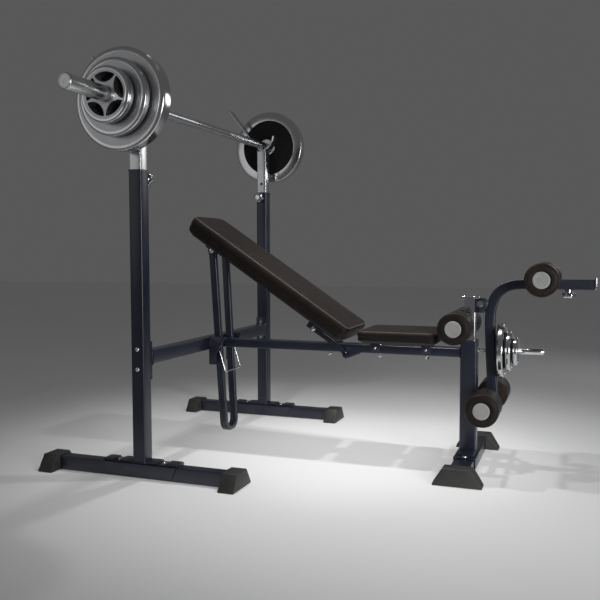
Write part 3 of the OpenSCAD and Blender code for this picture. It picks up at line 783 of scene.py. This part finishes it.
CRADLE = [(-168, 1470), (-99, 1384), (-10, BAR_Z - 21.3), (12, BAR_Z - 21.3), (34, 1286), (52, 1311),
          (59, 1340)]
for s, tag in SIDES:
    y = s * POST_Y
    bm = new()
    hollow(bm, (0, y, 780), (0, y, RISER_TOP), 45, 45, 3.5, 2.0)
    riser = piece("riser_tube_" + tag, bm, RISER, "inner_tube_" + tag)
    tools = []
    for k in range(-3, 2):
        hole = new()
        lathe(hole, [(0, 8), (6.5, 8), (6.5, 28), (0, 28)], (0, y, KNOB_Z + 67 * k), (0, -s, 0), 32)
        tools.append(hole)
    cut(riser, tools)
    bm = new()
    bent(bm, fillet([(x, y, z) for x, z in CRADLE], [10, 26, 12, 14, 16], 6), 45, 6, 1.6)
    rbox(bm, -22.5, 22.5, y - 22.5, y + 22.5, RISER_TOP + 0.1, BAR_Z - 23.6, 1.0)
    weld(bm, (0, y, RISER_TOP + 0.1), (0, 0, -1), 45, 45, 3.5, None, 1.6)
    piece("bar_hook_" + tag, bm, RISER, "cradle_" + tag)
    bm = new()
    stem = [(0, 502), (13, 502), (13, 510), (11.5, 511.6), (6, 511.6), (6, 526.6), (0, 526.6)]
    lathe(bm, stem, (0, 0, KNOB_Z), (0, s, 0), 36)
    lobed_knob(bm, (0, s * 503, KNOB_Z), (0, -s, 0), 23.6, 22, 6, 2.4)
    piece("lock_knob_" + tag, bm, CHROME, "knob_" + tag)

# ------------------------------------------------------------------ barbell

bm = new()
# Radius and height of each step of the shaft, and whether the face that leads to it is knurled
BAR_STEPS = [(0, -930, 0), (18, -930, 0), (18, -520, 0), (18, -519, 0), (18, -150, 1), (18, -149, 0),
             (18, 149, 0), (18, 150, 0), (18, 519, 1), (18, 520, 0), (18, 930, 0), (0, 930, 0)]
lathe(bm, [step[:2] for step in BAR_STEPS], (0, 0, BAR_Z), (0, 1, 0), 64, [step[2] for step in BAR_STEPS[1:]])
piece("bar", bm, [CHROME, KNURL], "bar_shaft")


def weight_disc(bm, origin, axis, r, t, hub, bore, rim, back_r, lip):
    """Weight disc standing on origin. Materials: 0 satin face, 1 polished rim, 2 near-black back, painted shade
    for the gap between discs.
    """
    full_back = back_r >= r - 12
    rows = [(bore, 1.5, 0), (back_r - 3, 1.5, 2), (back_r - 1, 0, 2), (r - 5, 0, 2 if full_back else 1)]
    if full_back:
        rows += [(r - 4, 1, 2), (r - 4, lip, 2), (r - 1.6, lip + 0.6, 1)]
        corner = arc(r - 4, lip + 5, 4, -40, 0, 4)
    else:
        corner = arc(r - 4, 4.4, 4, -60, 0, 4)
    rows += [(rad, h, 1) for rad, h in corner]
    rows += [(r - 0.62 * (rim - u), t - 0.5 * (rim - v), 1) for u, v in arc(0, 0, rim, 0, 80, 8)]
    rows += [(r - rim, t, 1), (r - rim - 0.8, t - 1.4, 1), (r - rim - 2, t - 1.4, 1),
             (r - rim - 2.8, t - 0.6, 0), (hub + 6, t - 0.6, 0), (hub + 4, t - 1.6, 0),
             (hub + 2.5, t - 1.6, 1), (hub, t - 0.2, 1), (bore + 1.4, t - 0.2, 0), (bore, t - 1.4, 1),
             (bore, 1.5, 1)]
    lathe(bm, [row[:2] for row in rows], origin, axis, 128, [row[2] for row in rows[1:]])


SLEEVE = [(18.1, 588), (35, 588), (38, 591), (38, 594.5), (36.8, 595.5), (36.8, 597.5), (38, 598.5),
          (38, 609), (35, 612), (24.7, 612), (24.7, 744), (25, 745), (25, 940), (24.6, 941.6),
          (23.4, 943.6), (21.6, 945), (19.8, 945), (19.2, 943.8), (18.4, 943.8), (17.8, 944.6),
          (5.5, 944.6), (4.8, 943.6), (0, 943.4)]
SLEEVE_MATS = [int(min(a[0], b[0]) > 24 and a[1] >= 612 and b[1] <= 940) for a, b in zip(SLEEVE, SLEEVE[1:])]
PLATE_MATS = [SATIN, RIM, DISC_GAP_SHADE]
SLEEVE_R = 25.4
WINDOW = arc(0, 0, 70.5, -32, 32, 16) + arc(82.5, 0, -45, -54, 54, 12)
for s, tag in SIDES:
    bm = new()
    lathe(bm, SLEEVE, (0, 0, BAR_Z), (0, s, 0), 72, SLEEVE_MATS)
    piece("bar_sleeve_" + tag, bm, [RISER, RIBBED], "sleeve_" + tag)
    for size, y0, *shape in (("large", 614, 170, 49, 44, SLEEVE_R, 15, 131, 9),
                             ("middle", 663.2, 127, 37.8, 76, SLEEVE_R, 13, 122, 11)):
        bm = new()
        weight_disc(bm, (0, s * y0, BAR_Z), (0, s, 0), *shape)
        if size == "middle":
            # Its recessed hub also takes the near-black painted shade
            for f in bm.faces:
                c = f.calc_center_median()
                if hypot(c.x, c.z - BAR_Z) < 80 and abs(c.y) > y0 + 20:
                    f.material_index = 2
        piece(size + "_disc_" + tag, bm, PLATE_MATS, size + "_plate_" + tag, sharp=24)
    bm = new()
    weight_disc(bm, (0, s * 701.2, BAR_Z), (0, s, 0), 91, 41.8, 30, SLEEVE_R, 11, 86, 12)
    small = piece("small_disc_" + tag, bm, PLATE_MATS, "small_plate_" + tag, sharp=24)
    # Five windows through it leave a star of spokes
    tools = []
    for i in range(5):
        turn = radians(90 + 72 * i) * -s
        c, q = cos(turn), sin(turn)
        window = new()
        outline = [(u * c - v * q, BAR_Z + u * q + v * c) for u, v in WINDOW]
        prism(window, outline, "xz", *span(s, 690, 760), 0)
        tools.append(window)
    cut(small, tools)

# ------------------------------------------------------------------ backrest frame, prop and bail

bm = new()
rbox(bm, -196, -134, -34.4, 34.4, 41, 43.8, 0.8)
lug = [(-722, 43.8), (-722, 32), (-716, 26), (-703, 26)] + arc(-688, 27, 15, 184, 356, 12) + \
      [(-673, 26), (-660, 26), (-654, 32), (-654, 43.8)]
for s in (-1, 1):
    rbox(bm, -196, -134, *span(s, 30.5, 34.4), -2, 42, 0.8)
    prism(bm, lug, "xz", *span(s, 69, 73), 0.8)
    rbox(bm, -722, -654, *span(s, 72, 96), 41, 43.8, 0.8)
piece("backrest_irons", bm, PAINT, "backrest_brackets", place=PAD_FRAME)

bm = new()
for s in (-1, 1):
    pts = [(x, s * 37.6, z) for x, z in ((0, 0), (-22, 7), (-62, 8), (-172, 8))]
    bent(bm, fillet(pts, [40, 60], 4), 6, 18, 1.0)
    lathe(bm, washer(0, 13, 34.6, 40.6), (0, 0, 0), (0, s, 0), 36)
    lathe(bm, washer(0, 9, 34.6, 40.6), (-171, 0, 8), (0, s, 0), 30)
piece("tilt_arms", bm, PAINT, "hinge_arms", place=PAD_FRAME)

bm = new()
for s in (-1, 1):
    lathe(bm, washer(0, 5, 24, 40.5), (-164, 0, 8), (0, s, 0), 20)
    dome_head(bm, (-164, s * 40.8, 8), (0, s, 0), 9, 4)
piece("tilt_arm_bolts", bm, CHROME, "arm_bolts", place=PAD_FRAME)

bm = new()
lathe(bm, washer(0, 6, -73.5, 73.5), PROP_TOP, (0, 1, 0), 32)
for s in (-1, 1):
    dome_head(bm, PROP_TOP + Vector((0, s * 73.2, 0)), (0, s, 0), 10.5, 4.8)
piece("prop_pivot", bm, CHROME, "prop_bolt")

bm = new()
# The prop's legs spread by SPLAY from the bend at the bottom, whose centre line is at LOW
LOW, SPLAY, BEND_R = -735.0, radians(0.83), 36
base = 11.5 + BEND_R / cos(SPLAY)
top = base + (-12 - LOW - BEND_R) * tan(SPLAY)
corner = base - BEND_R * tan(SPLAY)
path = [(0, -top, -12), (0, -corner, LOW), (0, corner, LOW), (0, top, -12)]
bent(bm, fillet(path, [BEND_R, BEND_R], 12), 30, 20, 4.0, (1, 0, 0))
eye = [(15, -15.5), (14.9, -8)] + arc(0, 0, 14.5, 4, 176, 18) + [(-14.9, -8), (-15, -15.5)]
for s in (-1, 1):
    prism(bm, eye, "xz", *span(s, 47.8, 67.8), 1.2)
    for k in range(5):
        z = -330 - 38 * k
        y = 11.5 + 46.2 + (z - LOW - BEND_R) * tan(SPLAY)
        lathe(bm, [(6.2, y - 1.2), (6.2, y - 0.1), (5.2, y + 0.2), (4.8, y - 1.2)], (-2, 0, z), (0, s, 0), 24)
piece("prop_frame", bm, PAINT, "prop", place=PROP_FRAME)

bm = new()
pivot = PROP_FRAME @ Vector((9.76, 0, -407.41))
foot = Vector((93.6, 0, 309))
across = (foot - pivot).normalized().cross(Vector((0, 1, 0))).normalized()
path = [end + Vector((0, y, 0)) for end, y in ((pivot, -58), (pivot, -71), (foot, -71), (foot, 71),
                                               (pivot, 71), (pivot, 58))]
bent(bm, fillet(path, [4, 9, 9, 4], 8), 6, 6, 3, across, True)
piece("prop_keeper", bm, CHROME, "bail")

# ------------------------------------------------------------------ leg developer


def smooth_path(pts, steps):
    """Catmull-Rom curve through the middle points, ends kept straight."""
    pts = [Vector((x, 0, z)) for x, z in pts]
    out = []
    n = len(pts)
    for i in range(n - 1):
        p0, p1, p2, p3 = pts[max(i - 1, 0)], pts[i], pts[i + 1], pts[min(i + 2, n - 1)]
        count = 1 if i < 2 or i == n - 2 else steps
        for k in range(count):
            t = k / count
            out.append(0.5 * (2 * p1 + (p2 - p0) * t + (2 * p0 - 5 * p1 + 4 * p2 - p3) * t * t
                              + (3 * p1 - p0 - 3 * p2 + p3) * t ** 3))
    return out + [pts[-1]]


LEVER_BEND = [(1485, 677), (1292, 677), (1262, 677), (1232, 676), (1204, 671.5), (1176, 658.5), (1153, 636),
              (1139, 603), (1132, 560), (1132.5, 505), (1134.5, 457), (1136.5, 409), (1139.5, 360),
              (1143.1, 300), (1147, 236)]
bm = new()
bent(bm, smooth_path(LEVER_BEND, 4), 36, 36, 4.5)
rbox(bm, 1100, 1124, -18, 18, 592, 614, 1.6)
bush = [(6.1, -21.5), (11.4, -21.5), (12, -20.9), (12, 20.9), (11.4, 21.5), (6.1, 21.5), (6.1, -21.5)]
lathe(bm, bush, LEVER_PIVOT, (0, 1, 0), 36)
lathe(bm, [(10.8, 0), (19, 0), (19, 4), (17.6, 5.6), (10.8, 5.6)], (1153, 0, PEG_Z), (1, 0, 0), 40)
weld(bm, (UPPER_AXLE[0], -17.9, UPPER_AXLE[2]), (0, -1, 0), 20, 25, 4, (1, 0, 0), 2.4)
piece("lever_beam", bm, PAINT, "lever_arm")


def axle(bm, at, reach, collar):
    """Round bar across the bench with a collar on each side."""
    lathe(bm, washer(0, 12.5, -reach, reach), at, (0, 1, 0), 40)
    for s in (-1, 1):
        lathe(bm, collar, at, (0, s, 0), 40)


def end_discs(name, node, axles):
    """Pale discs on the ends of the roller axles that are part of one node."""
    bm = new()
    for (x, _, z), reach in axles:
        for s in (-1, 1):
            prof = [(0, -1), (27, -1), (28.6, 0.4), (29, 1.6), (29, 3.0), (28.2, 4.2), (26.6, 4.9), (22, 5.2),
                    (21, 4.9), (12, 5.3), (0, 5.5)]
            lathe(bm, prof, (x, s * (reach - 0.4), z), (0, s, 0), 64)
    piece(name, bm, DISC, None, BODY_OF[node], 50)


SHORT_REACH, LONG_REACH = 173, 236
bm = new()
axle(bm, UPPER_AXLE, SHORT_REACH, [(12.5, 20), (16, 20), (16, 25.5), (15, 27), (12.5, 27)])
axle(bm, LOWER_AXLE, LONG_REACH, [(12.5, 86), (17, 86), (17, 91.5), (16, 93), (12.5, 93)])
piece("lever_axles", bm, CHROME, "arm_axles")

bm = new()
axle(bm, SEAT_AXLE, SHORT_REACH, washer(12.5, 17, 25, 29))
piece("seat_axle_bar", bm, CHROME, "seat_axle")

end_discs("seat_roller_ends", "seat_axle", [(SEAT_AXLE, SHORT_REACH)])
end_discs("lever_roller_ends", "arm_axles", [(UPPER_AXLE, SHORT_REACH), (LOWER_AXLE, LONG_REACH)])

bm = new()
peg = [(0, 1157), (10.2, 1157), (10.2, 1233), (10.5, 1233.6), (10.5, 1319), (9.6, 1320.6), (8.6, 1321),
       (0, 1321)]
lathe(bm, peg, (0, 0, PEG_Z), (1, 0, 0), 48)
piece("peg", bm, CHROME, "weight_peg")

bm = new()
for r, x0, x1, hub, rim in ((99, 1160, 1185, 22, 9), (73, 1187, 1209, 22, 9), (51, 1211, 1231, 20, 7)):
    weight_disc(bm, (x0, 0, PEG_Z), (1, 0, 0), r, x1 - x0, hub, 10.9, rim, r - 5, 5)
piece("peg_discs", bm, [CHROME, RIM, DISC_GAP_SHADE], "peg_plates", sharp=24)

bm = new()
stem = [(0, 660.6), (8, 660.6), (8, 658.8), (12.5, 658.6), (12.5, 652), (11.5, 651), (8, 651), (8, 646), (0, 646)]
lathe(bm, stem, (1400, 0, 0), (0, 0, 1), 36)
lobed_knob(bm, (1400, 0, 648.5), (0, 0, -1), 24.6, 18.4, 5, 2.6)
piece("extension_knob", bm, CHROME, "arm_knob")

bm = new()
solid_bar(bm, (1388, 0, 677), (1485.4, 0, 677), 30.8, 30.8, 2.5)
rbox(bm, 1485.3, 1492, -22, 22, 660, 705, 1.2, 3)
piece("extension_plug", bm, CHROME, "arm_insert")

# ------------------------------------------------------------------ foam rollers

ROLLER_PROFILE = (
    [(12.8, 1.6), (30, 0.8), (46, 1.4), (52, 2.4)]
    + arc(52, 8.4, 6, -75, 0, 5)
    + [(58, h) for h in range(16, 128, 8)]
    + arc(52, 131.6, 6, 0, 75, 5)
    + [(52.4, 137.9), (51, 137.5), (50, 138.3), (44, 139.0), (34, 139.2), (31, 138.4), (30, 137.0),
       (12.8, 137.0), (12.8, 1.6)])
for row, (name, (x, _, z), y0) in enumerate((("seat", SEAT_AXLE, 32), ("upper", UPPER_AXLE, 32),
                                             ("lower", LOWER_AXLE, 95))):
    for s, tag in SIDES:
        bm = new()
        lathe(bm, ROLLER_PROFILE, (x, s * y0, z), (0, s, 0), 96)
        shift = 9 * (2 * row + (s > 0))
        for v in bm.verts:
            r = hypot(v.co.x - x, v.co.z - z)
            if r > 40:
                d = noise.noise(Vector((v.co.x * 0.022 + shift, v.co.y * 0.022, v.co.z * 0.022)))
                grow = 1 + (d * 0.9 - 0.5) / r
                v.co.x = x + (v.co.x - x) * grow
                v.co.z = z + (v.co.z - z) * grow
        node = f"{name}_roller_{tag}"
        roller = piece("foam_" + node, bm, ROLLER, node, sharp=40)

# ------------------------------------------------------------------ pads


def pad_outline(x0, x1, half_w, r0, r1, step=7.0):
    """Rounded pad outline, anticlockwise, evenly stepped."""
    pts = []
    for cx, cy, r, a0 in ((x1 - r1, half_w - r1, r1, 0), (x0 + r0, half_w - r0, r0, 90),
                          (x0 + r0, -half_w + r0, r0, 180), (x1 - r1, -half_w + r1, r1, 270)):
        pts += [Vector(p) for p in arc(cx, cy, r, a0, a0 + 90, 14)]
    out = []
    for a, b in zip(pts, pts[1:] + pts[:1]):
        n = max(1, round((b - a).length / step))
        out += [a + (b - a) * k / n for k in range(n)]
    return out


def outward(pts, i):
    """Outward direction at point i of an anticlockwise outline."""
    t = (pts[(i + 1) % len(pts)] - pts[i - 1]).normalized()
    return Vector((t.y, -t.x, 0))


def pad_shell(spec, levels):
    """Closed pad with one ring per (height, inset) level."""
    bm = new()
    base = pad_outline(*spec)
    normals = [outward(base, i) for i in range(len(base))]
    loft(bm, [[Vector((p.x - q.x * inset, p.y - q.y * inset, z)) for p, q in zip(base, normals)]
              for z, inset in levels])
    return bm


def puffed(bm, held, cap):
    """Cloth-inflate a closed shell by up to cap. held(z) is 1 where a seam or the board holds the cover."""
    bm.transform(Matrix.Scale(MM, 4))
    ob = add_object("pad_sim", mesh_of(bm, "pad_sim"))
    mod = ob.modifiers.new("remesh", "REMESH")
    mod.mode = "VOXEL"
    mod.voxel_size = 6 * MM
    bpy.context.view_layer.update()
    me = keep_evaluated(ob)
    start = [v.co.copy() for v in me.vertices]
    group = ob.vertex_groups.new(name="held")
    for v in me.vertices:
        w = held(v.co.z / MM)
        if w > 0:
            group.add([v.index], w, "REPLACE")
    mod = ob.modifiers.new("cloth", "CLOTH")
    cs = mod.settings
    cs.quality = 5
    cs.mass = 0.35
    cs.tension_stiffness = cs.compression_stiffness = 18
    cs.shear_stiffness = 8
    cs.bending_stiffness = 1.2
    cs.use_pressure = True
    cs.uniform_pressure_force = 4.0
    cs.effector_weights.gravity = 0
    cs.vertex_group_mass = "held"
    mod.collision_settings.use_collision = False
    mod.point_cache.frame_start = 1
    mod.point_cache.frame_end = PUFF_FRAMES
    for f in range(1, PUFF_FRAMES + 1):
        bpy.context.scene.frame_set(f)
    me = keep_evaluated(ob)
    bpy.context.scene.frame_set(1)
    for v, s in zip(me.vertices, start):
        move = v.co - s
        if move.length > cap * MM:
            v.co = s + move * (cap * MM / move.length)
    return ob


def relax(ob):
    """Even out the voxel steps left by the remesh."""
    bm = new()
    bm.from_mesh(ob.data)
    for _ in range(5):
        bmesh.ops.smooth_vert(bm, verts=bm.verts[:], factor=0.5, use_axis_x=True, use_axis_y=True,
                              use_axis_z=True)
    bm.to_mesh(ob.data)
    bm.free()


def seam_path(ob, spec, height, lift):
    """Closed path round a pad at one height, lift above its surface."""
    bm = new()
    bm.from_mesh(ob.data)
    bmesh.ops.triangulate(bm, faces=bm.faces[:])
    tree = BVHTree.FromBMesh(bm)
    bm.free()
    base = pad_outline(*spec, 5.0)
    pts = []
    for i, p in enumerate(base):
        q = outward(base, i)
        start = (Vector((p.x, p.y, height)) + q * 60) * MM
        hit = tree.ray_cast(start, -q)[0]
        pts.append((hit if hit else start - q * 60 * MM) / MM + q * lift)
    for _ in range(4):
        pts = [(pts[i - 1] + pts[i] * 2 + pts[(i + 1) % len(pts)]) / 4 for i in range(len(pts))]
    return pts


def finish_pad(name, ob, spec, piping, band, place, node):
    """Seams, piping and materials of a puffed pad. piping is (height, radius, lift), band a seam's height."""
    relax(ob)
    height, radius, lift = piping
    path = seam_path(ob, spec, height, lift)
    bm = new()
    bm.from_mesh(ob.data)
    bpy.data.objects.remove(ob)
    bmesh.ops.subdivide_edges(bm, edges=bm.edges[:], cuts=1, use_grid_fill=True, smooth=0.6)
    bm.normal_update()
    for v in bm.verts:
        z = v.co.z / MM
        side = 1 - abs(v.normal.z)
        for h, depth in ((height, 1.6), (band, 2.6)):
            pull = exp(-((z - h) / 3.2) ** 2) * depth * side
            if pull > 0.02:
                v.co -= Vector((v.normal.x, v.normal.y, 0)) * pull * MM
    for f in bm.faces:
        f.smooth = True
        f.material_index = 1 if f.calc_center_median().z / MM < band else 0
    bm.transform(TO_WORLD @ place @ Matrix.Scale(1 / MM, 4))
    pad = add_object(name, mesh_of(bm, name))
    pad.data.materials.append(LEATHER)
    pad.data.materials.append(BAND)
    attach(pad, BODY_OF[node])
    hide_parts(node)
    bm = new()
    rings = []
    for i, p in enumerate(path):
        t = (path[(i + 1) % len(path)] - path[i - 1]).normalized()
        u = t.cross(Vector((0, 0, 1))).normalized()
        w = u.cross(t).normalized()
        rings.append(section_ring(p, u * radius, w * radius, circle(8)))
    vs = loft(bm, rings, False)
    bridge(bm, vs[-1], vs[0])
    piece(name + "_piping", bm, PIPING_HIGHLIGHT, None, BODY_OF[node], 60, place)


def held_by(board, band, band_half, top):
    """Function that says how firmly the board and the two seams hold a cover at height z."""
    def held(z):
        if z < board:
            return 1.0
        if abs(z - band) < band_half:
            return 0.9
        return 0.75 if abs(z - top) < 3.5 else 0.0
    return held


# Backrest pad, in the pad's own frame
bm = pad_shell((-812, -25, 135.5, 42, 24), [
    (46.6, 19), (46.6, 13), (50, 8.5), (58, 4.5), (67, 1.6), (74, 2.4), (82, 0.4), (92, 0), (103, 1.4), (110, 4.2),
    (114, 8), (116.6, 14), (118, 24), (118.4, 40), (118.4, 70)])
sim = puffed(bm, held_by(50, 75, 3.2, 112), 7.0)
finish_pad("back_cushion", sim, (-809, -28, 132.5, 40, 23), (111.5, 1.7, 0.7), 75, PAD_FRAME, "backrest_pad")

# Seat pad
bm = pad_shell((657, 961, 133.5, 30, 30), [
    (457.8, 16), (457.8, 7), (460.5, 3), (466, 1.0), (474, 2.2), (480, 0.2), (487, 0), (493, 1.0), (497.5, 3.6),
    (500.4, 7.5), (502, 13), (502.6, 24), (503, 40), (503, 66)])
sim = puffed(bm, held_by(461, 475, 3.0, 498), 5.0)
finish_pad("seat_cushion", sim, (659, 959, 131.5, 33, 33), (498, 1.4, 0.6), 475, IN_RACK, "seat_pad")

for node in ("backrest_board", "seat_board"):
    nodes[node].data.materials.clear()
    nodes[node].data.materials.append(WOOD)

# ------------------------------------------------------------------ stage, light and camera

bm = new()
bmesh.ops.create_grid(bm, x_segments=24, y_segments=24, size=14)
floor = add_object("floor", mesh_of(bm, "floor"))
floor.location = (0, 0, -0.0005)
floor.data.materials.append(floor_material())


def lamp(name, kind, at, target, power):
    """Light at one point that shines at another."""
    light = bpy.data.lights.new(name, kind)
    light.energy = power
    ob = add_object(name, light)
    ob.location = at
    ob.rotation_euler = (Vector(target) - Vector(at)).to_track_quat("-Z", "Y").to_euler()
    return light


def area(name, at, target, size, power, spread=180):
    light = lamp(name, "AREA", at, target, power)
    light.shape = "DISK"
    light.size = size
    light.spread = radians(spread)


def pool(name, dx, dy, target, angle, power, radius, shadow):
    """Round soft-edged pool of light on the floor, from dx and dy beside its centre."""
    light = lamp(name, "SPOT", (POOL[0] + dx, POOL[1] + dy, POOL_HIGH), target, power)
    light.spot_size = radians(angle)
    light.spot_blend = 1.0
    light.shadow_soft_size = radius
    light.use_shadow = shadow


POOL = (RACK_X + 0.55, -0.02, 0)
POOL_HIGH = 2.15
BEHIND_POST = (-0.55, -0.6, 1.2)
pool("pool_left", -0.45, -0.10, POOL, 89, 32, 0.035, True)
pool("pool_right", 0.45, -0.10, POOL, 89, 32, 0.035, True)
pool("pool_fill", 0, -0.10, POOL, 89, 49, 0.10, False)
pool("pool_centre", 0.11, 0.11, (POOL[0] + 0.11, POOL[1] + 0.11, 0), 45.4, 45, 0.10, False)
area("soft_left", (-2.6, -3.2, 1.5), BEHIND_POST, 1.8, 3.6)
area("soft_right", (2.7, -2.8, 0.9), (0.6, 0, 0.45), 1.6, 17, 80)
area("rim_back", (1.7, 2.9, 1.8), BEHIND_POST, 1.0, 6)

scene = bpy.context.scene
scene.view_settings.view_transform = "Standard"
scene.world = bpy.data.worlds.new("studio")
scene.world.use_nodes = True
background = scene.world.node_tree.nodes["Background"]
background.inputs[0].default_value = (0.098, 0.098, 0.099, 1)
background.inputs[1].default_value = 1.0

camera = bpy.data.cameras.new("camera")
camera.lens = 45.7
camera.sensor_width = 36
cam = add_object("camera", camera)
cam.location = (RACK_X + 1.440, -2.843, 0.795)
yaw, pitch, roll = radians(20.27), radians(3.64), radians(-0.1)
cam.rotation_euler = (Matrix.Rotation(yaw, 3, "Z") @ Matrix.Rotation(pi / 2 - pitch, 3, "X")
                      @ Matrix.Rotation(roll, 3, "Z")).to_euler()
scene.camera = cam
